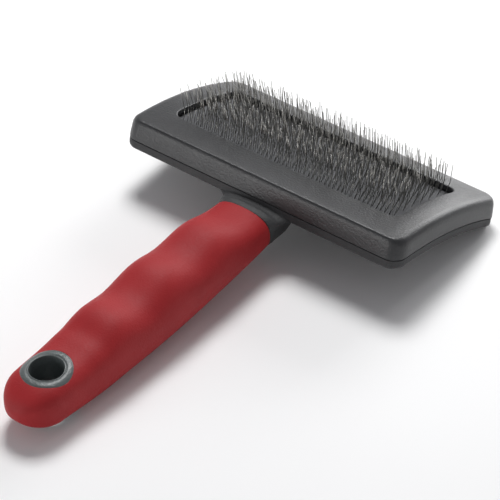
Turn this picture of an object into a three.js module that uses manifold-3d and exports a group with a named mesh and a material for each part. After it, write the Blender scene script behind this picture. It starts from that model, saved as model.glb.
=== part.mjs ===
// Slicker brush for pet grooming, in millimetres, +Z up.
// The brush lies on its back with the pins up. The handle points to -Y.
// Origin: centre of the footprint, on the surface that the brush lies on.

import * as THREE from 'three';
import { mergeVertices } from 'three/addons/utils/BufferGeometryUtils.js';
import Module from 'manifold-3d';

const wasm = await Module();
wasm.setup();

// ---------------------------------------------------------------- driving sizes
// Head frame: X along the head, Y across it, Z out of the pin side, zero at the crown.
const HEAD_LENGTH = 131;       // outside sizes are at the seam
const HEAD_WIDTH = 68.6;
const HEAD_DEPTH = 12.1;        // crown to underside
const SEAM_DEPTH = 8.1;         // crown to the joint between bezel and back shell
const ARCH_RADIUS = 156;        // the head is arched across its width
const CORNER_RADIUS = 6;
const DRAFT = 0.5;              // the bezel's wall leans in towards the rim
const WALL = 2.2;
const GAP = 0.3;                // clearance between neighbouring pieces

const OPENING_LENGTH = 107;
const OPENING_WIDTH = 41.4;
const OPENING_CORNER = 4;
const PAD_DEPTH = 3;            // crown of the rim to the pad surface
const PAD_BORDER = 2;           // border of the pad held under the bezel

const ROW_COUNT = 14;
const ROW_PITCH = 2.85;
const STAPLES_PER_ROW = 25;
const STAPLE_PITCH = 4;
const ROW_STAGGER = 1;
const WIRE = 0.45;
const TIP_HEIGHT = 11.3;        // pin tips above the rim

// Handle frame: Y along the handle, turned about X from the head frame.
const HANDLE_TILT = THREE.MathUtils.degToRad(18.7);
const AXIS_HEIGHT = -6.9;       // handle axis, measured in the handle frame
const GRIP_FRONT = -44;
const GRIP_END = -173.2;
const GRIP_WALL = 2.5;
const END_ROUNDING = 13;        // length of the rounded end
const WAVE_HEIGHT = 1.2;        // finger waves on the pin side of the grip
const WAVE_PITCH = 29;
const WAVE_CREST = -67;
const WAVE_FADE = [-129, -140];

const HOLE_STATION = -154.8;
const HOLE_RADIUS = 6.4;
const BOSS_RADIUS = 9.6;
const BOSS_TOP = 9.5;           // flat faces of the boss, from the handle axis
const BOSS_BOTTOM = -8.8;

const LAY_TILT = THREE.MathUtils.degToRad(-16.5);  // head plane to the table

// Grip sections: station, half width, height above the axis, depth below it,
// and the exponent of the superellipse, where 2 is an ellipse and more is boxier.
const GRIP_SECTIONS = [
  [-44, 12.8, 7.6, 9.4, 2.45],
  [-53, 13.1, 10.4, 10.5, 2.45],
  [-67, 13.6, 12.4, 11.4, 2.4],
  [-82, 14.0, 13.3, 12.3, 2.35],
  [-96, 14.1, 13.5, 12.9, 2.35],
  [-111, 14.0, 12.7, 12.8, 2.4],
  [-125, 13.5, 12.2, 12.4, 2.5],
  [-136, 12.9, 10.6, 12.0, 2.75],
  [-145, 12.4, 9.5, 11.0, 2.95],
  [-158, 11.9, 9.5, 9.0, 3.1],
  [-174, 11.5, 9.0, 7.4, 3.0],
];

// Neck sections, from the grip towards the head and along the underside of the shell:
// station, half width, top and bottom in the handle frame.
const NECK_SECTIONS = [
  [-43.7, 12.5, 0.3, -15.9],
  [-41.0, 12.7, 0.2, -16.1],
  [-39.6, 12.5, -0.9, -16.0],
  [-37.0, 12.5, -1.8, -15.9],
  [-34.0, 12.4, -3.2, -15.6],
  [-28.5, 11.3, -4.8, -14.8],
  [-20.0, 10.4, -6.6, -14.0],
  [-10.0, 8.6, -8.8, -13.0],
  [0.0, 5.6, -11.0, -12.1],
];

// ---------------------------------------------------------------- materials
const shellPlastic = () => new THREE.MeshStandardMaterial({ color: 0x4a4a4c, roughness: 0.5 });
const gripRubber = () => new THREE.MeshStandardMaterial({ color: 0x96282c, roughness: 0.6 });
const padRubber = () => new THREE.MeshStandardMaterial({ color: 0x55575a, roughness: 0.8 });
const padCloth = () => new THREE.MeshStandardMaterial({ color: 0x8b8474, roughness: 0.95 });
const padFoam = () => new THREE.MeshStandardMaterial({ color: 0x3a3b3d, roughness: 1 });
const pinSteel = () => new THREE.MeshStandardMaterial({ color: 0x8d8d88, roughness: 0.35, metalness: 0.9 });

// ---------------------------------------------------------------- geometry helpers
const archHeight = (y) => -(y * y) / (2 * ARCH_RADIUS);

// Closed body from rings of equal length. Each ring is its own mirror image in X,
// point k facing point n-1-k, so a flat end is closed with strips across the ring.
function loft(rings, joinEnds = false) {
  const n = rings[0].length;
  const index = [];
  const last = joinEnds ? rings.length : rings.length - 1;
  for (let i = 0; i < last; i++) {
    const here = i * n;
    const next = ((i + 1) % rings.length) * n;
    for (let k = 0; k < n; k++) {
      const j = (k + 1) % n;
      index.push(here + k, here + j, next + j);
      index.push(here + k, next + j, next + k);
    }
  }
  if (!joinEnds) {
    closeRing(index, 0, n, true);
    closeRing(index, (rings.length - 1) * n, n, false);
  }
  const geometry = new THREE.BufferGeometry();
  const points = rings.flat().flatMap((p) => [p.x, p.y, p.z]);
  geometry.setAttribute('position', new THREE.Float32BufferAttribute(points, 3));
  geometry.setIndex(index);
  return geometry;
}

function closeRing(index, start, n, flipped) {
  const add = (a, b, c) => index.push(...(flipped ? [a, c, b] : [a, b, c]));
  for (let k = 0; k < n / 2 - 1; k++) {
    const a = start + k;
    const b = start + n - 1 - k;
    add(a, a + 1, b - 1);
    add(a, b - 1, b);
  }
}

// Rounded rectangle as a mirrored ring that follows the arch of the head.
function headRing(halfX, halfY, radius, z) {
  const cornerSteps = 5;
  const sideSteps = 8;
  const right = [];
  for (let i = 0; i <= cornerSteps; i++) {
    const turn = (i / cornerSteps - 1) * Math.PI / 2;
    right.push([halfX - radius + radius * Math.cos(turn), radius - halfY + radius * Math.sin(turn)]);
  }
  for (let i = 1; i < sideSteps; i++) {
    right.push([halfX, (2 * i / sideSteps - 1) * (halfY - radius)]);
  }
  for (let i = 0; i <= cornerSteps; i++) {
    const turn = i / cornerSteps * Math.PI / 2;
    right.push([halfX - radius + radius * Math.cos(turn), halfY - radius + radius * Math.sin(turn)]);
  }
  const left = right.map(([x, y]) => [-x, y]).reverse();
  return [...right, ...left].map(([x, y]) => new THREE.Vector3(x, y, z + archHeight(y)));
}

const outerRing = (inset, z) => headRing(
  HEAD_LENGTH / 2 - inset, HEAD_WIDTH / 2 - inset, Math.max(CORNER_RADIUS - inset, 2), z);

const openingRing = (outset, z) => headRing(
  OPENING_LENGTH / 2 + outset, OPENING_WIDTH / 2 + outset, OPENING_CORNER + outset / 2, z);

// Value of one column of a section table at a station, by a smooth cubic. The
// stations run towards -Y.
function sectionValue(table, column, station) {
  const last = table.length - 1;
  let i = 0;
  while (i < last - 1 && station < table[i + 1][0]) i++;
  const [a, b] = [table[i], table[i + 1]];
  const slope = (p, q) => (table[q][column] - table[p][column]) / (table[q][0] - table[p][0]);
  const span = b[0] - a[0];
  const t = THREE.MathUtils.clamp((station - a[0]) / span, 0, 1);
  const slopeA = slope(Math.max(i - 1, 0), i + 1) * span;
  const slopeB = slope(i, Math.min(i + 2, last)) * span;
  const rise = b[column] - a[column];
  return a[column] + t * slopeA + t * t * (3 * rise - 2 * slopeA - slopeB)
    + t * t * t * (slopeA + slopeB - 2 * rise);
}

// Superellipse section across the handle, as a mirrored ring.
function sectionRing(station, halfWidth, top, bottom, centre, exponent) {
  const steps = 28;
  const ring = [];
  for (let k = 0; k < steps; k++) {
    const turn = ((k + 0.5) / steps) * 2 * Math.PI - Math.PI / 2;
    const across = Math.cos(turn);
    const rise = Math.sin(turn);
    const size = (Math.abs(across) ** exponent + Math.abs(rise) ** exponent) ** (-1 / exponent);
    const height = rise > 0 ? top - centre : centre - bottom;
    ring.push(new THREE.Vector3(halfWidth * across * size, station, centre + height * rise * size));
  }
  return ring;
}

// Ring on the grip's outer surface, moved inwards by an inset. The waves are only in
// the rubber, so the rings inside it leave them out.
function gripRing(station, inset = 0) {
  const [halfWidth, top, bottom, exponent] = [1, 2, 3, 4].map(
    (column) => sectionValue(GRIP_SECTIONS, column, station));
  const fade = THREE.MathUtils.smoothstep(station, WAVE_FADE[1], WAVE_FADE[0]);
  const phase = (station - WAVE_CREST) / WAVE_PITCH * 2 * Math.PI;
  const wave = inset > 0 ? 0 : WAVE_HEIGHT * fade * Math.cos(phase);
  const end = GRIP_END + inset;
  const intoEnd = THREE.MathUtils.clamp((end + END_ROUNDING - station) / END_ROUNDING, 0, 0.995);
  const shrink = Math.sqrt(1 - intoEnd * intoEnd);
  return sectionRing(
    station,
    (halfWidth - inset) * shrink,
    AXIS_HEIGHT + (top + wave - inset) * shrink,
    AXIS_HEIGHT - (bottom - inset) * shrink,
    AXIS_HEIGHT,
    exponent);
}

// Stations from the front of the grip to its end, closer together in the rounded end.
function gripStations(front, end, straightSteps, endSteps) {
  const bend = end + END_ROUNDING;
  const stations = [];
  for (let i = 0; i < straightSteps; i++) {
    stations.push(THREE.MathUtils.lerp(front, bend, i / straightSteps));
  }
  for (let i = 0; i <= endSteps; i++) {
    stations.push(bend - END_ROUNDING * 0.995 * Math.sin(i / endSteps * Math.PI / 2));
  }
  return stations;
}

// ---------------------------------------------------------------- solids
function toSolid(geometry) {
  const bare = geometry.clone();
  bare.deleteAttribute('normal');
  bare.deleteAttribute('uv');
  const merged = mergeVertices(bare, 1e-4);
  return new wasm.Manifold(new wasm.Mesh({
    numProp: 3,
    vertProperties: new Float32Array(merged.attributes.position.array),
    triVerts: new Uint32Array(merged.index.array),
  }));
}

function toGeometry(solid) {
  const mesh = solid.getMesh();
  const geometry = new THREE.BufferGeometry();
  geometry.setAttribute('position', new THREE.BufferAttribute(new Float32Array(mesh.vertProperties), 3));
  geometry.setIndex(new THREE.BufferAttribute(new Uint32Array(mesh.triVerts), 1));
  return geometry;
}

function toMesh(name, geometry, material) {
  geometry.computeVertexNormals();
  const mesh = new THREE.Mesh(geometry, material);
  mesh.name = name;
  return mesh;
}

const intoHeadFrame = (geometry) => geometry.applyMatrix4(new THREE.Matrix4().makeRotationX(HANDLE_TILT));

// Upright cylinder at the hang hole, in the handle frame.
function holeCylinder(radius, top, bottom) {
  const cylinder = new THREE.CylinderGeometry(radius, radius, top - bottom, 32);
  cylinder.rotateX(Math.PI / 2);
  cylinder.translate(0, HOLE_STATION, AXIS_HEIGHT + (top + bottom) / 2);
  return cylinder;
}

// ---------------------------------------------------------------- head pieces
// Moulded frame: crowned rim, outer wall down to the seam, and a lip over the pad's border.
function makeBezel() {
  const lip = -(PAD_DEPTH - GAP);
  return toMesh('bezel_frame', loft([
    outerRing(0, -SEAM_DEPTH),
    outerRing(DRAFT, -1.7),
    outerRing(DRAFT + 0.5, -0.5),
    outerRing(DRAFT + 1.7, 0),
    openingRing(1, 0),
    openingRing(0.3, -0.3),
    openingRing(0, -1),
    openingRing(0, lip),
    outerRing(WALL, lip),
    outerRing(WALL, -SEAM_DEPTH),
  ], true), shellPlastic());
}

// Tray with a tongue inside the bezel's wall and a fence round the pad.
function trayGeometry() {
  const rim = -(SEAM_DEPTH + GAP);
  const floor = -(HEAD_DEPTH - WALL);
  const tongueTop = -(SEAM_DEPTH - 2);
  const fenceTop = -(PAD_DEPTH + 1.5);
  return loft([
    outerRing(1.8, -HEAD_DEPTH),
    outerRing(0.8, -HEAD_DEPTH + 0.3),
    outerRing(0.25, -HEAD_DEPTH + 1.1),
    outerRing(0.2, rim),
    outerRing(WALL + GAP, rim),
    outerRing(WALL + GAP, tongueTop),
    outerRing(WALL + GAP + 1, tongueTop),
    outerRing(WALL + GAP + 1, floor),
    openingRing(PAD_BORDER + GAP + 1.2, floor),
    openingRing(PAD_BORDER + GAP + 1.2, fenceTop),
    openingRing(PAD_BORDER + GAP, fenceTop),
    openingRing(PAD_BORDER + GAP, floor),
  ]);
}

// Neck that leaves the shell below the seam and runs out along its underside.
function neckGeometry() {
  const rings = NECK_SECTIONS.map(([station, halfWidth, top, bottom]) => {
    const centre = bottom + (top - bottom) * 0.55;
    return sectionRing(station, halfWidth, top, bottom, centre, 2.7);
  });
  return intoHeadFrame(loft(rings.reverse()));
}

// Web that fillets the neck into the shell's near wall.
function webGeometry() {
  const filletRadius = 7;
  const neckSide = 12;
  const webDepth = 3.9;
  const wall = -HEAD_WIDTH / 2 + 1.2;
  const outline = new THREE.Shape();
  outline.moveTo(-neckSide - filletRadius, wall);
  outline.absarc(-neckSide - filletRadius, wall - filletRadius, filletRadius, Math.PI / 2, 0, true);
  outline.lineTo(neckSide, wall - filletRadius);
  outline.absarc(neckSide + filletRadius, wall - filletRadius, filletRadius, Math.PI, Math.PI / 2, true);
  outline.closePath();
  const web = new THREE.ExtrudeGeometry(outline, { depth: webDepth, bevelEnabled: false, curveSegments: 8 });
  return web.translate(0, 0, archHeight(HEAD_WIDTH / 2) - SEAM_DEPTH - 2 * GAP - webDepth);
}

// Core of the handle, inside the grip, stepped down from the neck by the grip's wall.
function coreGeometry() {
  const inset = GRIP_WALL + GAP;
  const intoNeck = GRIP_FRONT + 1;
  const stations = [intoNeck, ...gripStations(GRIP_FRONT, GRIP_END + inset, 12, 5)];
  return intoHeadFrame(loft(stations.map((station) => gripRing(station, inset))));
}

// Back shell, neck, handle core and the boss round the hang hole are one moulding.
function makeBackShell() {
  const boss = intoHeadFrame(holeCylinder(BOSS_RADIUS, BOSS_TOP, BOSS_BOTTOM));
  const hole = intoHeadFrame(holeCylinder(HOLE_RADIUS, 30, -30));
  const solid = [trayGeometry(), neckGeometry(), webGeometry(), coreGeometry(), boss]
    .map(toSolid)
    .reduce((whole, piece) => whole.add(piece))
    .subtract(toSolid(hole));
  return toMesh('back_shell_and_core', toGeometry(solid), shellPlastic());
}

// ---------------------------------------------------------------- grip
// Soft sleeve moulded over the core: a cup, open to the neck, with holes for the boss.
function makeGrip() {
  const inside = GRIP_WALL;
  const outer = gripStations(GRIP_FRONT, GRIP_END, 22, 5).map((station) => gripRing(station));
  const inner = gripStations(GRIP_FRONT, GRIP_END + inside, 12, 5).map(
    (station) => gripRing(station, inside));
  const sleeve = toSolid(intoHeadFrame(loft([...inner.reverse(), ...outer])));
  const bossHole = toSolid(intoHeadFrame(holeCylinder(BOSS_RADIUS + GAP, 30, -30)));
  return toMesh('grip_sleeve', toGeometry(sleeve.subtract(bossHole)), gripRubber());
}

// ---------------------------------------------------------------- pad and pins
const rowY = (row) => (row - (ROW_COUNT - 1) / 2) * ROW_PITCH;
const rowShift = (row) => (row % 2 ? 0.5 : -0.5) * ROW_STAGGER;

const PLIES = {
  facing: [-PAD_DEPTH, -PAD_DEPTH - 1.2],
  cloth: [-PAD_DEPTH - 1.5, -PAD_DEPTH - 2.7],
  crown: [-PAD_DEPTH - 3.0, -PAD_DEPTH - 3.4],
  foam: [-PAD_DEPTH - 3.7, -HEAD_DEPTH + WALL + GAP],
};

function plySolid([top, bottom]) {
  return toSolid(loft([openingRing(PAD_BORDER, bottom), openingRing(PAD_BORDER, top)]));
}

// The wires of each row pass through one slot of the ply.
function slottedPly(levels) {
  const length = STAPLES_PER_ROW * STAPLE_PITCH + 1;
  const width = WIRE + 2 * GAP;
  let solid = plySolid(levels);
  for (let row = 0; row < ROW_COUNT; row++) {
    const slot = new THREE.BoxGeometry(length, width, 20);
    slot.translate(rowShift(row), rowY(row), -PAD_DEPTH);
    solid = solid.subtract(toSolid(slot));
  }
  return toGeometry(solid);
}

// One row of staples. Their crowns are joined under the cloth, so that the row is one
// solid, and each tooth stands for the two wires of a staple.
function makePinRow(row) {
  const [crownTop, crownBottom] = PLIES.crown;
  const half = (STAPLES_PER_ROW - 1) * STAPLE_PITCH / 2;
  const outline = new THREE.Shape();
  outline.moveTo(-half - 1, crownBottom);
  outline.lineTo(half + 1, crownBottom);
  outline.lineTo(half + 1, crownTop);
  for (let i = STAPLES_PER_ROW - 1; i >= 0; i--) {
    const x = i * STAPLE_PITCH - half;
    outline.lineTo(x + WIRE / 2, crownTop);
    outline.lineTo(x + WIRE / 2, TIP_HEIGHT);
    outline.lineTo(x - WIRE / 2, TIP_HEIGHT);
    outline.lineTo(x - WIRE / 2, crownTop);
  }
  outline.lineTo(-half - 1, crownTop);
  const comb = new THREE.ExtrudeGeometry(outline, { depth: WIRE, bevelEnabled: false });
  comb.rotateX(Math.PI / 2);
  comb.translate(rowShift(row), rowY(row) + WIRE / 2, archHeight(rowY(row)));
  return toMesh(`pin_row_${String(row + 1).padStart(2, '0')}`, comb, pinSteel());
}

// ---------------------------------------------------------------- assembly
const head = new THREE.Group();
head.add(makeBezel());
head.add(makeBackShell());
head.add(makeGrip());
head.add(toMesh('pad_facing', slottedPly(PLIES.facing), padRubber()));
head.add(toMesh('pad_cloth', slottedPly(PLIES.cloth), padCloth()));
head.add(toMesh('pad_cushion', toGeometry(plySolid(PLIES.foam)), padFoam()));
for (let row = 0; row < ROW_COUNT; row++) {
  head.add(makePinRow(row));
}
head.rotation.x = LAY_TILT;

const brush = new THREE.Group();
brush.add(head);
brush.updateMatrixWorld(true);
const extent = new THREE.Box3().setFromObject(brush, true);
const middle = extent.getCenter(new THREE.Vector3());
head.position.set(0, -middle.y, -extent.min.z);

export default brush;
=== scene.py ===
"""Slicker brush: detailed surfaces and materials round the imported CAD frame.

Shapes are worked out in the head frame, in millimetres: X along the head, Y across it,
Z out of the pin side, zero at the crown of the rim. to_row() turns them into metres in
the row frame, where the brush lies on its back with the pins up.
"""

import math
import random

import bmesh
import bpy
import numpy as np
from mathutils import Matrix, Vector


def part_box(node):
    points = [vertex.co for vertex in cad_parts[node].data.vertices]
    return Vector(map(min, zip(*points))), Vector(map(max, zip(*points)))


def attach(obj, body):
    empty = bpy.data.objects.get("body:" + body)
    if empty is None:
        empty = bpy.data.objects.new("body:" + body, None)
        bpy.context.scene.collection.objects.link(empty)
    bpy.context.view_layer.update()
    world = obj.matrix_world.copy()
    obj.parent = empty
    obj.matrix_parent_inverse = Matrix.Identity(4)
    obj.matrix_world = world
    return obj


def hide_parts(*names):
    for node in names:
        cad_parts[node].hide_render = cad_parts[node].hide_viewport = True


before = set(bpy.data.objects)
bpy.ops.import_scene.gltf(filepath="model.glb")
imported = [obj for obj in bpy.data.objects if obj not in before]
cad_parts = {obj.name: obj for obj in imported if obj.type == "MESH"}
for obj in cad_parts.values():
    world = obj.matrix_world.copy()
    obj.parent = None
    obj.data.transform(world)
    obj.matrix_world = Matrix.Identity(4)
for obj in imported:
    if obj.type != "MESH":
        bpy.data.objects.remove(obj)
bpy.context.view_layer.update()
BODY = "root"

# ------------------------------------------------------------------ sizes, in millimetres
MM = 0.001
LAY_TILT = math.radians(-16.5)
HANDLE_TILT = math.radians(18.7)

HEAD_HALF = (65.5, 34.3)
HEAD_DEPTH = 12.1
SEAM_DEPTH = 8.1
ARCH_RADIUS = 156.0
CORNER_RADIUS = 6.0
DRAFT = 0.5
WALL = 2.2
OPENING_HALF = (53.5, 20.7)
OPENING_CORNER = 4.6
PAD_DEPTH = 3.0
PAD_BORDER = 1.8

AXIS_HEIGHT = -6.9
GRIP_FRONT = -44.0
GRIP_END = -173.2
END_ROUNDING = 13.0
WAVE_HEIGHT = 1.2
WAVE_PITCH = 29.0
WAVE_CREST = -67.0
WAVE_FADE = (-129.0, -140.0)
HOLE_STATION = -154.8
HOLE_RADIUS = 6.4
RING_RADIUS = 9.6

ROW_NODES = sorted(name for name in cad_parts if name.startswith("pin_row_"))
ROW_PITCH = 2.85
STAPLES_PER_ROW = 25
STAPLE_PITCH = 4.0
ROW_STAGGER = 1.0
WIRE_RADIUS = 0.125
BEND_HEIGHT = 2.4
TIP_HEIGHT = 11.0
BEND_ANGLE = math.radians(20)
LOWER_LEAN = 0.14
END_LEAN = 0.14

# Station, half width, height above the axis, depth below it, superellipse exponent.
GRIP_SECTIONS = (
    (-44, 12.8, 7.6, 9.4, 2.45),
    (-53, 13.1, 10.4, 10.5, 2.45),
    (-67, 13.6, 12.4, 11.4, 2.4),
    (-82, 14.0, 13.3, 12.3, 2.35),
    (-96, 14.1, 13.5, 12.9, 2.35),
    (-111, 14.0, 12.7, 12.8, 2.4),
    (-125, 13.5, 12.2, 12.4, 2.5),
    (-136, 12.9, 10.6, 12.0, 2.75),
    (-145, 12.4, 9.5, 11.0, 2.95),
    (-158, 11.9, 9.5, 9.0, 3.1),
    (-174, 11.5, 9.0, 7.4, 3.0),
)

# Station, half width, top and bottom in the handle frame.
NECK_SECTIONS = (
    (-43.9, 12.5, 0.3, -15.9),
    (-42.6, 12.7, 0.45, -16.1),
    (-41.0, 12.7, 0.2, -16.1),
    (-39.6, 12.5, -0.9, -16.0),
    (-37.0, 12.5, -1.8, -15.9),
    (-34.0, 12.4, -3.2, -15.6),
    (-28.5, 11.3, -4.8, -14.8),
    (-20.0, 10.4, -6.6, -14.0),
    (-10.0, 8.6, -8.8, -13.0),
    (0.0, 5.6, -11.0, -12.2),
)

# The neck's ring is a superellipse whose widest level is a share of the way up.
NECK_EXPONENT = 2.7
NECK_WIDEST = 0.55
FLARE_RADIUS = 8.0
FLARE_WIDTH = 11.5

# Steps of a head ring: round a corner, along a side, along an end.
CORNER_STEPS, SIDE_STEPS, END_STEPS = 10, 24, 36
# Steps round the neck and the hang hole, and round the grip.
ROUND_STEPS = 96
GRIP_STEPS = 120
# How near the last grip ring comes to the pole of the rounded end.
END_REACH = 0.9995

# ------------------------------------------------------------------ camera
CAMERA_AZIMUTH = math.radians(39.29)
CAMERA_ELEVATION = math.radians(39.08)
CAMERA_ROLL = math.radians(-1.32)
CAMERA_DISTANCE = 1.0731
CAMERA_AIM = Vector((-0.00455, 0.03599, -0.00549))
LENS = 201.6


# ------------------------------------------------------------------ frames
def find_head_matrix():
    """Head frame to row frame: a turn about X, then the head's place in the CAD box.

    The ends of the bezel reach farthest towards +Y and lowest at the seam's far edge,
    which fixes the place of the crown."""
    turn = Matrix.Rotation(LAY_TILT, 4, "X")
    far_seam = Vector((0, HEAD_HALF[1], arch(HEAD_HALF[1]) - SEAM_DEPTH))
    turned = turn @ far_seam
    low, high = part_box("bezel_frame")
    return Matrix.Translation((0, high[1] / MM - bezel_reach(turn, 1), low[2] / MM - turned.z)) @ turn


def arch(y):
    return -(y * y) / (2 * ARCH_RADIUS)


def bezel_reach(turn, axis):
    """Farthest the bezel reaches along a row axis when its crown is at the origin."""
    levels = ((0.0, -SEAM_DEPTH), (DRAFT, -1.7), (DRAFT + 0.5, -0.5))
    return max(
        (turn @ Vector((0, HEAD_HALF[1] - inset, arch(HEAD_HALF[1] - inset) + z)))[axis]
        for inset, z in levels
    )


HEAD_TO_ROW = find_head_matrix()
HANDLE_TO_HEAD = Matrix.Rotation(HANDLE_TILT, 4, "X")


def to_row(points):
    """Head-frame points in millimetres as row-frame points in metres."""
    matrix = np.array(HEAD_TO_ROW)
    points = np.asarray(points, float)
    return (points @ matrix[:3, :3].T + matrix[:3, 3]) * MM


def from_handle(points):
    matrix = np.array(HANDLE_TO_HEAD)
    return np.asarray(points, float) @ matrix[:3, :3].T


# ------------------------------------------------------------------ mesh helpers
def face_outwards(mesh):
    shape = bmesh.new()
    shape.from_mesh(mesh)
    bmesh.ops.recalc_face_normals(shape, faces=shape.faces)
    shape.to_mesh(mesh)
    shape.free()


def make_piece(name, points, faces, material, slot, replaced=()):
    """A mesh piece from head-frame points, placed, given its material, hung under the body's empty,
    with the CAD parts it replaces hidden.
    """
    mesh = bpy.data.meshes.new(name)
    mesh.from_pydata(to_row(points).tolist(), [], [list(face) for face in faces])
    face_outwards(mesh)
    mesh.materials.append(material)
    mesh.shade_smooth()
    piece = bpy.data.objects.new(name, mesh)
    bpy.context.collection.objects.link(piece)
    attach(piece, BODY)
    if replaced:
        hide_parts(*replaced)
    return piece


def bridge_rings(rings, join_ends=False, arched_caps=False):
    """Points and faces of a closed body lofted through rings of equal length."""
    count = len(rings[0])
    points = np.concatenate(rings)
    faces = []
    last = len(rings) if join_ends else len(rings) - 1
    for i in range(last):
        here = i * count
        after = (i + 1) % len(rings) * count
        for k in range(count):
            j = (k + 1) % count
            faces.append((here + k, here + j, after + j, after + k))
    if not join_ends:
        for start in (0, (len(rings) - 1) * count):
            cap = cap_strips() if arched_caps else [tuple(range(count))]
            faces += [tuple(start + k for k in face) for face in cap]
    return points, faces


def cap_strips():
    """Strips along X that close a head ring and follow its arch."""
    corner, side, end = CORNER_STEPS + 1, SIDE_STEPS - 1, END_STEPS - 1
    left_start = corner + side
    left_end = left_start + corner + end + corner
    total = left_end + side + corner + end
    left = list(range(left_start, left_end))
    right = list(range(corner - 1, -1, -1)) + list(range(total - 1, left_end + side - 1, -1))
    strips = [tuple([right[1], *range(right[0], left[0] + 1), left[1]])]
    for k in range(1, len(left) - 2):
        strips.append((right[k], left[k], left[k + 1], right[k + 1]))
    strips.append(tuple([right[-2], *range(left[-2], right[-1] + 1)]))
    return strips


def section_value(table, column, station):
    """Value of one column of a section table at a station, by a smooth cubic."""
    last = len(table) - 1
    step = 1 if table[1][0] > table[0][0] else -1
    i = 0
    while i < last - 1 and (station - table[i + 1][0]) * step > 0:
        i += 1

    def slope(p, q):
        return (table[q][column] - table[p][column]) / (table[q][0] - table[p][0])

    start, end = table[i], table[i + 1]
    span = end[0] - start[0]
    t = min(max((station - start[0]) / span, 0), 1)
    slope_a = slope(max(i - 1, 0), i + 1) * span
    slope_b = slope(i, min(i + 2, last)) * span
    rise = end[column] - start[column]
    return (
        start[column]
        + t * slope_a
        + t * t * (3 * rise - 2 * slope_a - slope_b)
        + t**3 * (slope_a + slope_b - 2 * rise)
    )


def smoothstep(low, high, value):
    t = np.clip((np.asarray(value, float) - low) / (high - low), 0, 1)
    return t * t * (3 - 2 * t)


def head_ring(half_x, half_y, radius, z):
    """Rounded rectangle that follows the arch of the head, anticlockwise from +X."""
    outline = []
    centres = ((1, 1, 0), (-1, 1, 90), (-1, -1, 180), (1, -1, 270))
    for sx, sy, start in centres:
        for i in range(CORNER_STEPS + 1):
            turn = math.radians(start + 90 * i / CORNER_STEPS)
            outline.append(
                (
                    sx * (half_x - radius) + radius * math.cos(turn),
                    sy * (half_y - radius) + radius * math.sin(turn),
                )
            )
        steps = SIDE_STEPS if start in (0, 180) else END_STEPS
        next_sx, next_sy = {0: (-1, 1), 90: (-1, -1), 180: (1, -1), 270: (1, 1)}[start]
        end_turn = math.radians(start + 90)
        first = np.array(outline[-1])
        final = np.array(
            (
                next_sx * (half_x - radius) + radius * math.cos(end_turn),
                next_sy * (half_y - radius) + radius * math.sin(end_turn),
            )
        )
        for i in range(1, steps):
            outline.append(tuple(first + (final - first) * i / steps))
    return np.array([(x, y, z + arch(y)) for x, y in outline])


def outer_ring(inset, z, end_inset=None):
    """Ring a little inside the head's outline; the ends may be set in further."""
    end_inset = inset if end_inset is None else end_inset
    radius = max(CORNER_RADIUS - (inset + end_inset) / 2, 1.5)
    return head_ring(HEAD_HALF[0] - end_inset, HEAD_HALF[1] - inset, radius, z)


def opening_ring(outset, z):
    return head_ring(
        OPENING_HALF[0] + outset, OPENING_HALF[1] + outset, OPENING_CORNER + outset * 0.6, z
    )


def fillet(start, corner, end, steps=6):
    """Points of a rounded corner of a profile, from start to end, bending at corner."""
    start, corner, end = (np.array(p, float) for p in (start, corner, end))
    return [
        tuple((1 - t) ** 2 * start + 2 * t * (1 - t) * corner + t * t * end)
        for t in (i / steps for i in range(steps + 1))
    ]


# ------------------------------------------------------------------ materials
def new_material(name):
    material = bpy.data.materials.new(name)
    material.use_nodes = True
    nodes = material.node_tree.nodes
    return material, nodes, material.node_tree.links, nodes["Principled BSDF"]


def add_node(nodes, kind, **sockets):
    node = nodes.new(kind)
    for key, value in sockets.items():
        node.inputs[key.replace("_", " ")].default_value = value
    return node


def noise(nodes, links, scale, detail=3.0, roughness=0.55):
    coordinates = nodes.new("ShaderNodeTexCoord")
    texture = add_node(nodes, "ShaderNodeTexNoise", Scale=scale, Detail=detail, Roughness=roughness)
    links.new(coordinates.outputs["Object"], texture.inputs["Vector"])
    return texture


def ramp(nodes, links, source, low, high, start=0.3, end=0.7):
    node = nodes.new("ShaderNodeValToRGB")
    node.color_ramp.elements[0].position = start
    node.color_ramp.elements[0].color = (*low, 1)
    node.color_ramp.elements[1].position = end
    node.color_ramp.elements[1].color = (*high, 1)
    links.new(source, node.inputs["Fac"])
    return node.outputs["Color"]


def spread(nodes, links, source, low, high):
    """A 0 to 1 value spread between two values."""
    node = nodes.new("ShaderNodeMapRange")
    node.inputs["To Min"].default_value = low
    node.inputs["To Max"].default_value = high
    links.new(source, node.inputs["Value"])
    return node.outputs["Result"]


def bump(nodes, links, height, shader, strength, distance):
    node = add_node(nodes, "ShaderNodeBump", Strength=strength, Distance=distance)
    links.new(height, node.inputs["Height"])
    links.new(node.outputs["Normal"], shader.inputs["Normal"])


def shell_plastic(name, low, high, roughness):
    """Moulded plastic with a fine spark-eroded grain and faint handling marks."""
    material, nodes, links, shader = new_material(name)
    cloud = noise(nodes, links, 55.0)
    links.new(ramp(nodes, links, cloud.outputs["Fac"], low, high), shader.inputs["Base Color"])
    wear = noise(nodes, links, 420.0, detail=4.0)
    links.new(
        spread(nodes, links, wear.outputs["Fac"], roughness - 0.07, roughness + 0.07),
        shader.inputs["Roughness"],
    )
    grain = noise(nodes, links, 1300.0, detail=3.0)
    bump(nodes, links, grain.outputs["Fac"], shader, 0.45, 0.00035)
    shader.inputs["IOR"].default_value = 1.46
    return material


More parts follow.
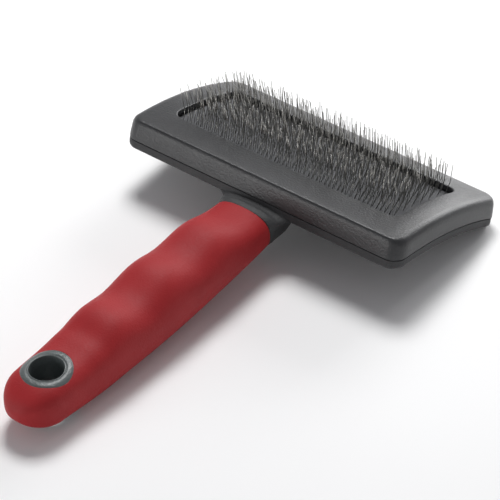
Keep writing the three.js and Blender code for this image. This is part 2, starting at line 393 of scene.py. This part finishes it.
def grip_rubber():
    """Soft-touch rubber: fine pimpled grain, a sheen, and a little colour drift."""
    material, nodes, links, shader = new_material("grip_rubber_red")
    cloud = noise(nodes, links, 48.0)
    links.new(
        ramp(nodes, links, cloud.outputs["Fac"], (0.285, 0.013, 0.016), (0.335, 0.018, 0.021)),
        shader.inputs["Base Color"],
    )
    coordinates = nodes.new("ShaderNodeTexCoord")
    pimples = add_node(nodes, "ShaderNodeTexVoronoi", Scale=1500.0)
    links.new(coordinates.outputs["Object"], pimples.inputs["Vector"])
    rough = noise(nodes, links, 900.0)
    links.new(
        spread(nodes, links, rough.outputs["Fac"], 0.5, 0.68), shader.inputs["Roughness"]
    )
    bump(nodes, links, pimples.outputs["Distance"], shader, 0.3, 0.00016)
    shader.inputs["Specular IOR Level"].default_value = 0.22
    shader.inputs["Sheen Weight"].default_value = 0.03
    shader.inputs["Sheen Roughness"].default_value = 0.4
    shader.inputs["Sheen Tint"].default_value = (1.0, 0.62, 0.66, 1)
    return material


def pad_rubber():
    """Grey facing with a faint pressed texture and a random darker and lighter cloud in its colour."""
    material, nodes, links, shader = new_material("pad_rubber_grey")
    cloud = noise(nodes, links, 160.0, detail=5.0)
    links.new(
        ramp(nodes, links, cloud.outputs["Fac"], (0.06, 0.061, 0.065), (0.09, 0.092, 0.097)),
        shader.inputs["Base Color"],
    )
    shader.inputs["Roughness"].default_value = 0.82
    grain = noise(nodes, links, 1800.0)
    bump(nodes, links, grain.outputs["Fac"], shader, 0.3, 0.00015)
    return material


def pad_cloth():
    """Plain weave: two crossed wave patterns for the threads."""
    material, nodes, links, shader = new_material("pad_cloth_weave")
    coordinates = nodes.new("ShaderNodeTexCoord")
    weave = nodes.new("ShaderNodeMath")
    weave.operation = "MULTIPLY"
    for thread, direction in enumerate(("X", "Y")):
        wave = add_node(nodes, "ShaderNodeTexWave", Scale=620.0, Distortion=0.4)
        wave.bands_direction = direction
        links.new(coordinates.outputs["Object"], wave.inputs["Vector"])
        links.new(wave.outputs["Fac"], weave.inputs[thread])
    links.new(
        ramp(nodes, links, weave.outputs[0], (0.16, 0.14, 0.11), (0.34, 0.3, 0.24), 0.1, 0.8),
        shader.inputs["Base Color"],
    )
    shader.inputs["Roughness"].default_value = 0.95
    bump(nodes, links, weave.outputs[0], shader, 0.5, 0.0002)
    return material


def pad_foam():
    """Dark open foam with round cells, their pits painted darker as painted shade in the pores."""
    material, nodes, links, shader = new_material("pad_foam_cells")
    coordinates = nodes.new("ShaderNodeTexCoord")
    cells = add_node(nodes, "ShaderNodeTexVoronoi", Scale=700.0)
    links.new(coordinates.outputs["Object"], cells.inputs["Vector"])
    # Painted shade: the ramp colours the cell pits, the low points of the bump, darker than the cell
    # walls.
    links.new(
        ramp(
            nodes, links, cells.outputs["Distance"],
            (0.02, 0.02, 0.022), (0.07, 0.07, 0.075), 0.1, 0.6,
        ),
        shader.inputs["Base Color"],
    )
    shader.inputs["Roughness"].default_value = 1.0
    bump(nodes, links, cells.outputs["Distance"], shader, 0.8, 0.0005)
    return material


def pin_steel():
    """Drawn wire, dulled, with fine marks and slight tarnish."""
    material, nodes, links, shader = new_material("pin_steel_wire")
    tarnish = noise(nodes, links, 240.0, detail=4.0)
    links.new(
        ramp(nodes, links, tarnish.outputs["Fac"], (0.22, 0.214, 0.2), (0.48, 0.47, 0.445)),
        shader.inputs["Base Color"],
    )
    shader.inputs["Metallic"].default_value = 1.0
    rough = noise(nodes, links, 1500.0)
    links.new(
        spread(nodes, links, rough.outputs["Fac"], 0.26, 0.38), shader.inputs["Roughness"]
    )
    return material


BEZEL_PLASTIC = shell_plastic("bezel_satin", (0.023, 0.0235, 0.025), (0.032, 0.033, 0.035), 0.34)
BACK_PLASTIC = shell_plastic("back_satin", (0.03, 0.0305, 0.032), (0.038, 0.0385, 0.04), 0.64)
RING_PLASTIC = shell_plastic("ring_satin", (0.075, 0.088, 0.088), (0.1, 0.113, 0.113), 0.33)
GRIP_RUBBER = grip_rubber()
PAD_RUBBER = pad_rubber()
PAD_CLOTH = pad_cloth()
PAD_FOAM = pad_foam()
PIN_STEEL = pin_steel()


# ------------------------------------------------------------------ head
def make_bezel():
    """Rim, outer wall down to the seam, and the lip over the pad, as one closed moulding."""
    lip = -(PAD_DEPTH - 0.3)
    # The rim turns down sharply along the sides and more softly round the ends.
    side_edge = fillet((DRAFT - 0.12, -2.4), (DRAFT, 0), (DRAFT + 1.0, 0), steps=12)
    end_edge = fillet((DRAFT - 0.2, -3.4), (DRAFT, 0), (DRAFT + 4.2, 0), steps=12)
    seam_edge = fillet((0.35, -SEAM_DEPTH), (0, -SEAM_DEPTH), (0.02, -SEAM_DEPTH + 0.4), steps=4)
    opening_edge = fillet((0.7, 0), (0, 0), (0, -0.7), steps=7)
    rings = [outer_ring(inset, z) for inset, z in seam_edge]
    for (inset, side_z), (end_inset, end_z) in zip(side_edge, end_edge):
        ring = outer_ring(inset, 0.0, end_inset)
        ring[:, 2] += side_z + (end_z - side_z) * end_share(ring)
        rings.append(ring)
    # The rim is crowned a little between its two edges.
    inner_crest = opening_ring(opening_edge[0][0], 0)
    outer_crest = rings[-1]
    for i in range(1, 6):
        t = i / 6
        crown = 0.12 * math.sin(math.pi * t)
        ring = outer_crest * (1 - t) + inner_crest * t
        ring[:, 2] = arch(ring[:, 1]) + crown
        rings.append(ring)
    rings += [opening_ring(outset, z) for outset, z in opening_edge]
    rings.append(opening_ring(0, lip))
    rings.append(outer_ring(WALL, lip))
    rings.append(outer_ring(WALL, -SEAM_DEPTH))
    points, faces = bridge_rings(rings, join_ends=True)
    return make_piece("bezel", points, faces, BEZEL_PLASTIC, "shell_plastic", ["bezel_frame"])


def end_share(ring):
    """0 along the long sides of a head ring, 1 along its ends, smooth round the corners."""
    return smoothstep(HEAD_HALF[0] - 9.0, HEAD_HALF[0] - 2.0, np.abs(ring[:, 0]))


def shell_rings():
    """The back shell below the seam, closed across its inside and its underside."""
    top = -(SEAM_DEPTH + 0.25)
    lower_edge = fillet((0.2, -HEAD_DEPTH + 1.7), (0.3, -HEAD_DEPTH), (2.0, -HEAD_DEPTH), steps=8)
    upper_edge = fillet((0.2, top - 0.35), (0.15, top), (0.5, top), steps=4)
    profile = [(6.0, -HEAD_DEPTH), *reversed(lower_edge), *upper_edge, (WALL + 0.6, top)]
    return [outer_ring(inset, z) for inset, z in profile]


def superellipse(station, half_width, top, bottom, centre, exponent, steps):
    turn = (np.arange(steps) + 0.5) / steps * 2 * math.pi - math.pi / 2
    across, rise = np.cos(turn), np.sin(turn)
    size = (np.abs(across) ** exponent + np.abs(rise) ** exponent) ** (-1 / exponent)
    height = np.where(rise > 0, top - centre, centre - bottom)
    return np.stack(
        [half_width * across * size, np.full(steps, station), centre + height * rise * size], -1
    )


def flare_neck(points):
    """Widens the neck where it meets the shell, like a fillet of the mould."""
    radius = FLARE_RADIUS
    y, z = points[:, 1], points[:, 2]
    before_wall = np.maximum(-(HEAD_HALF[1] - 0.2) - y, 0)
    below_shell = np.maximum(arch(y) - HEAD_DEPTH + 0.5 - z, 0)
    distance = np.clip(np.hypot(before_wall, below_shell * 1.9), 0, radius)
    growth = radius - np.sqrt(radius**2 - (radius - distance) ** 2)
    points[:, 0] *= 1 + growth / FLARE_WIDTH
    return points


def neck_rings():
    rings = []
    for station in np.linspace(NECK_SECTIONS[0][0], NECK_SECTIONS[-1][0], 150):
        half_width, top, bottom = (section_value(NECK_SECTIONS, c, station) for c in (1, 2, 3))
        centre = bottom + (top - bottom) * NECK_WIDEST
        ring = superellipse(
            station, half_width, top, bottom, centre, NECK_EXPONENT, ROUND_STEPS
        )
        rings.append(flare_neck(from_handle(ring)))
    return rings[::-1]


def make_back_shell():
    """Tray below the seam and the neck that grows out of it, joined into one solid."""
    shell = make_piece(
        "back_shell", *bridge_rings(shell_rings(), arched_caps=True), BACK_PLASTIC,
        "shell_plastic", ["back_shell_and_core"],
    )
    combine(shell, *bridge_rings(neck_rings()), "UNION")
    return shell


def combine(piece, points, faces, operation):
    """Joins a second body to a piece, or cuts it away."""
    mesh = bpy.data.meshes.new("tool")
    mesh.from_pydata(to_row(points).tolist(), [], [list(face) for face in faces])
    face_outwards(mesh)
    mesh.shade_smooth()
    tool = bpy.data.objects.new("tool", mesh)
    bpy.context.collection.objects.link(tool)
    modifier = piece.modifiers.new("combine", "BOOLEAN")
    modifier.object = tool
    modifier.operation = operation
    modifier.solver = "EXACT"
    depsgraph = bpy.context.evaluated_depsgraph_get()
    combined = bpy.data.meshes.new_from_object(piece.evaluated_get(depsgraph))
    piece.modifiers.clear()
    piece.data = combined
    bpy.data.objects.remove(tool)


# ------------------------------------------------------------------ grip
def grip_section(station):
    """Half width, height, depth and exponent of the grip at a station, waves included."""
    half_width, top, bottom, exponent = (
        section_value(GRIP_SECTIONS, c, station) for c in (1, 2, 3, 4)
    )
    fade = float(smoothstep(WAVE_FADE[1], WAVE_FADE[0], station))
    wave = WAVE_HEIGHT * fade * math.cos((station - WAVE_CREST) / WAVE_PITCH * 2 * math.pi)
    into_end = min(max((GRIP_END + END_ROUNDING - station) / END_ROUNDING, 0), END_REACH)
    shrink = math.sqrt(1 - into_end * into_end)
    return half_width * shrink, (top + wave) * shrink, bottom * shrink, exponent


def grip_ring(station, inset=0.0):
    half_width, top, bottom, exponent = grip_section(station)
    ring = superellipse(
        station,
        half_width - inset,
        AXIS_HEIGHT + top - inset,
        AXIS_HEIGHT - bottom + inset,
        AXIS_HEIGHT,
        exponent,
        GRIP_STEPS,
    )
    return from_handle(ring)


def grip_height(x, station):
    """Height of the grip's upper surface above the handle axis."""
    half_width, top, _, exponent = grip_section(station)
    return top * max(1 - abs(x / half_width) ** exponent, 0.02) ** (1 / exponent)


def grip_depth(x, station):
    """Depth of the grip's lower surface below the handle axis."""
    half_width, _, bottom, exponent = grip_section(station)
    return bottom * max(1 - abs(x / half_width) ** exponent, 0.02) ** (1 / exponent)


def make_grip():
    """Overmoulded grip with a rolled front edge and a hole for the hang ring."""
    bend = GRIP_END + END_ROUNDING
    edge = fillet((1.2, 0.0), (0.0, 0.0), (0.0, 0.7), steps=5)
    rings = [grip_ring(GRIP_FRONT - depth, inset) for inset, depth in edge]
    rings += [grip_ring(station) for station in np.linspace(GRIP_FRONT - 1.2, bend, 190)]
    reach = END_ROUNDING * END_REACH
    rings += [
        grip_ring(bend - reach * math.sin(i / 30 * math.pi / 2)) for i in range(1, 31)
    ]
    points, faces = bridge_rings(rings)
    grip = make_piece("grip", points, faces, GRIP_RUBBER, "grip_rubber", ["grip_sleeve"])
    cut_hole(grip, RING_RADIUS - 0.25)
    return grip


def cut_hole(piece, radius):
    """Cuts an upright round hole through the handle at the hang hole."""
    turn = np.arange(ROUND_STEPS) / ROUND_STEPS * 2 * math.pi
    circle = np.stack([radius * np.cos(turn), HOLE_STATION + radius * np.sin(turn)], -1)
    rings = [np.c_[circle, np.full(len(turn), AXIS_HEIGHT + z)] for z in (-25.0, 25.0)]
    combine(piece, *bridge_rings([from_handle(ring) for ring in rings]), "DIFFERENCE")


def hole_circle(radius, height):
    """Circle round the hang hole, whose height is a function of across and station."""
    points = []
    for turn in np.arange(ROUND_STEPS) / ROUND_STEPS * 2 * math.pi:
        x = radius * math.cos(turn)
        station = HOLE_STATION + radius * math.sin(turn)
        points.append((x, station, height(x, station)))
    return from_handle(points)


def make_hang_ring():
    """Ring of the core moulding that shows round the hang hole, flush with the grip."""
    # Radius and height over the grip's surface, from the outer edge into the hole.
    face = [(RING_RADIUS, -0.9), (RING_RADIUS, -0.1)]
    face += [(RING_RADIUS - 0.15, 0.1), (8.8, 0.16), (8.0, 0.18), (7.3, 0.14)]
    face += [(7.1, 0.0), (6.95, 0.0), (6.75, 0.22), (6.6, 0.26), (6.45, 0.1), (HOLE_RADIUS, -0.4)]
    # Radius and height over the handle axis, down the inside of the hole.
    bore = [(HOLE_RADIUS - 0.15, 0.5), (HOLE_RADIUS - 0.7, 0.16), (HOLE_RADIUS - 0.7, -0.16)]
    bore.append((HOLE_RADIUS - 0.15, -0.5))
    rings = [
        hole_circle(radius, lambda x, y, lift=lift: AXIS_HEIGHT + lift + grip_height(x, y))
        for radius, lift in face
    ]
    rings += [hole_circle(radius, lambda x, y, z=z: AXIS_HEIGHT + z) for radius, z in bore]
    rings += [
        hole_circle(radius, lambda x, y, lift=lift: AXIS_HEIGHT - lift - grip_depth(x, y))
        for radius, lift in reversed(face)
    ]
    points, faces = bridge_rings(rings, join_ends=True)
    return make_piece("hang_ring", points, faces, RING_PLASTIC, "shell_plastic")


# ------------------------------------------------------------------ pad
def ply_rings(top, bottom, edge):
    """A sheet of the pad with rolled edges, under the bezel's lip all round."""
    profile = [
        (PAD_BORDER - edge * 2, bottom),
        (PAD_BORDER - edge * 0.4, bottom + edge * 0.2),
        (PAD_BORDER, (top + bottom) / 2),
        (PAD_BORDER - edge * 0.4, top - edge * 0.2),
        (PAD_BORDER - edge * 2, top),
        (-6.0, top),
    ]
    return [opening_ring(outset, z) for outset, z in profile]


def make_ply(name, top, bottom, edge, material, slot, node):
    points, faces = bridge_rings(ply_rings(top, bottom, edge), arched_caps=True)
    ply = make_piece(name, points, faces, material, slot, [node])
    return ply


def make_pad():
    top = -PAD_DEPTH
    make_ply("facing", top, top - 1.2, 0.5, PAD_RUBBER, "pad_rubber", "pad_facing")
    make_ply("cloth_ply", top - 1.5, top - 2.6, 0.45, PAD_CLOTH, "pad_cloth", "pad_cloth")
    make_ply(
        "foam_cushion", top - 3.8, -HEAD_DEPTH + WALL + 0.3, 0.6,
        PAD_FOAM, "pad_foam", "pad_cushion",
    )


# ------------------------------------------------------------------ pins
def wire_path(x, y, lean_x, lean_y, height, bend):
    """One leg of a staple: it leans away from the handle, then bends back towards it."""
    base = arch(y)
    surface = base - PAD_DEPTH
    lower = np.array((lean_x, LOWER_LEAN + lean_y, 1.0))
    upper = np.array((lean_x, lean_y - math.tan(BEND_ANGLE), 1.0))
    foot = np.array((x, y, surface))
    knee = foot + lower * (BEND_HEIGHT + bend + PAD_DEPTH)
    tip = knee + upper * (base + height - knee[2])
    start = foot - np.array((0, 0, 3.2))
    round_off = [knee - lower * 0.9, knee - lower * 0.25 + upper * 0.05, knee + upper * 0.9]
    return [start, foot, *round_off, (knee + tip) / 2, tip]


def sweep(path, radius, sides=6):
    """A round wire swept along a path, closed at both ends."""
    path = np.asarray(path, float)
    tangents = np.gradient(path, axis=0)
    tangents /= np.linalg.norm(tangents, axis=1)[:, None]
    rings = []
    side = np.array((0.0, 1.0, 0.0))
    for centre, tangent in zip(path, tangents):
        side = side - tangent * (side @ tangent)
        side /= np.linalg.norm(side)
        across = np.cross(tangent, side)
        turn = np.arange(sides) / sides * 2 * math.pi
        rings.append(centre + radius * (np.cos(turn)[:, None] * side + np.sin(turn)[:, None] * across))
    return bridge_rings(rings)


def staple_path(x, y, draw):
    """A whole staple: leg, crown under the cloth, leg."""
    legs = []
    lean = END_LEAN * x / OPENING_HALF[0]
    for sign in (-1, 1):
        legs.append(
            wire_path(
                x + sign * STAPLE_PITCH / 4,
                y,
                lean + draw.gauss(0, 0.05),
                draw.gauss(0, 0.07),
                TIP_HEIGHT + draw.gauss(0, 0.35),
                draw.gauss(0, 0.5),
            )
        )
    return np.array(legs[0][::-1] + legs[1])


def make_pin_row(index, node, draw):
    """One row of bent wire staples."""
    y = (index - (len(ROW_NODES) - 1) / 2) * ROW_PITCH
    shift = (0.5 if index % 2 else -0.5) * ROW_STAGGER
    all_points, all_faces = [], []
    count = 0
    for i in range(STAPLES_PER_ROW):
        x = (i - (STAPLES_PER_ROW - 1) / 2) * STAPLE_PITCH + shift
        points, faces = sweep(staple_path(x, y, draw), WIRE_RADIUS)
        all_points.append(points)
        all_faces += [tuple(v + count for v in face) for face in faces]
        count += len(points)
    return make_piece(
        f"staples_{index + 1:02d}", np.concatenate(all_points), all_faces, PIN_STEEL,
        "pin_steel", [node],
    )


# ------------------------------------------------------------------ stage
def make_floor():
    mesh = bpy.data.meshes.new("floor")
    reach = 3.0
    clearance = 0.0002
    corners = [(-reach, -reach), (reach, -reach), (reach, reach), (-reach, reach)]
    mesh.from_pydata([(x, y, -clearance) for x, y in corners], [], [(0, 1, 2, 3)])
    material, nodes, links, shader = new_material("floor_white")
    tone = noise(nodes, links, 4.0)
    links.new(
        ramp(nodes, links, tone.outputs["Fac"], (0.9, 0.9, 0.9), (0.92, 0.92, 0.92)),
        shader.inputs["Base Color"],
    )
    shader.inputs["Roughness"].default_value = 0.9
    mesh.materials.append(material)
    floor = bpy.data.objects.new("floor", mesh)
    bpy.context.collection.objects.link(floor)


def direction_to(azimuth, elevation):
    """Unit vector towards an azimuth, counted from -Y towards +X, and an elevation."""
    return Vector((
        math.sin(azimuth) * math.cos(elevation),
        -math.cos(azimuth) * math.cos(elevation),
        math.sin(elevation),
    ))


def add_area_light(name, azimuth, elevation, distance, size, power):
    """A soft square light aimed at the middle of the brush, with its angles in degrees."""
    direction = direction_to(math.radians(azimuth), math.radians(elevation))
    light = bpy.data.lights.new(name, "AREA")
    light.size = size
    light.energy = power
    lamp = bpy.data.objects.new(name, light)
    lamp.location = direction * distance
    lamp.rotation_euler = direction.to_track_quat("Z", "Y").to_euler()
    bpy.context.collection.objects.link(lamp)


def make_lights():
    bpy.context.scene.view_settings.view_transform = "Standard"
    world = bpy.data.worlds.new("studio")
    world.use_nodes = True
    nodes, links = world.node_tree.nodes, world.node_tree.links
    background = nodes["Background"]
    direction = nodes.new("ShaderNodeTexCoord")
    split = nodes.new("ShaderNodeSeparateXYZ")
    links.new(direction.outputs["Generated"], split.inputs["Vector"])
    sky = ramp(nodes, links, split.outputs["Z"], (0.62, 0.62, 0.63), (0.2, 0.2, 0.21), 0.2, 0.6)
    links.new(sky, background.inputs["Color"])
    bpy.context.scene.world = world
    add_area_light("back_card", 184, 20, 0.75, 0.4, 3)
    add_area_light("key", 215, 62, 1.0, 0.35, 8)
    add_area_light("low_front_left", -28, 5, 0.9, 0.3, 2.4)


def make_camera():
    direction = direction_to(CAMERA_AZIMUTH, CAMERA_ELEVATION)
    data = bpy.data.cameras.new("camera")
    data.lens = LENS
    data.sensor_width = 36.0
    data.clip_start = 0.01
    camera = bpy.data.objects.new("camera", data)
    level = direction.to_track_quat("Z", "Y").to_matrix().to_4x4()
    camera.matrix_world = (
        Matrix.Translation(CAMERA_AIM + direction * CAMERA_DISTANCE)
        @ level
        @ Matrix.Rotation(CAMERA_ROLL, 4, "Z")
    )
    bpy.context.collection.objects.link(camera)
    bpy.context.scene.camera = camera


# ------------------------------------------------------------------ build
make_camera()
make_bezel()
make_back_shell()
make_grip()
make_hang_ring()
make_pad()
DRAW = random.Random(11)
for row_index, row_node in enumerate(ROW_NODES):
    make_pin_row(row_index, row_node, DRAW)
make_floor()
make_lights()
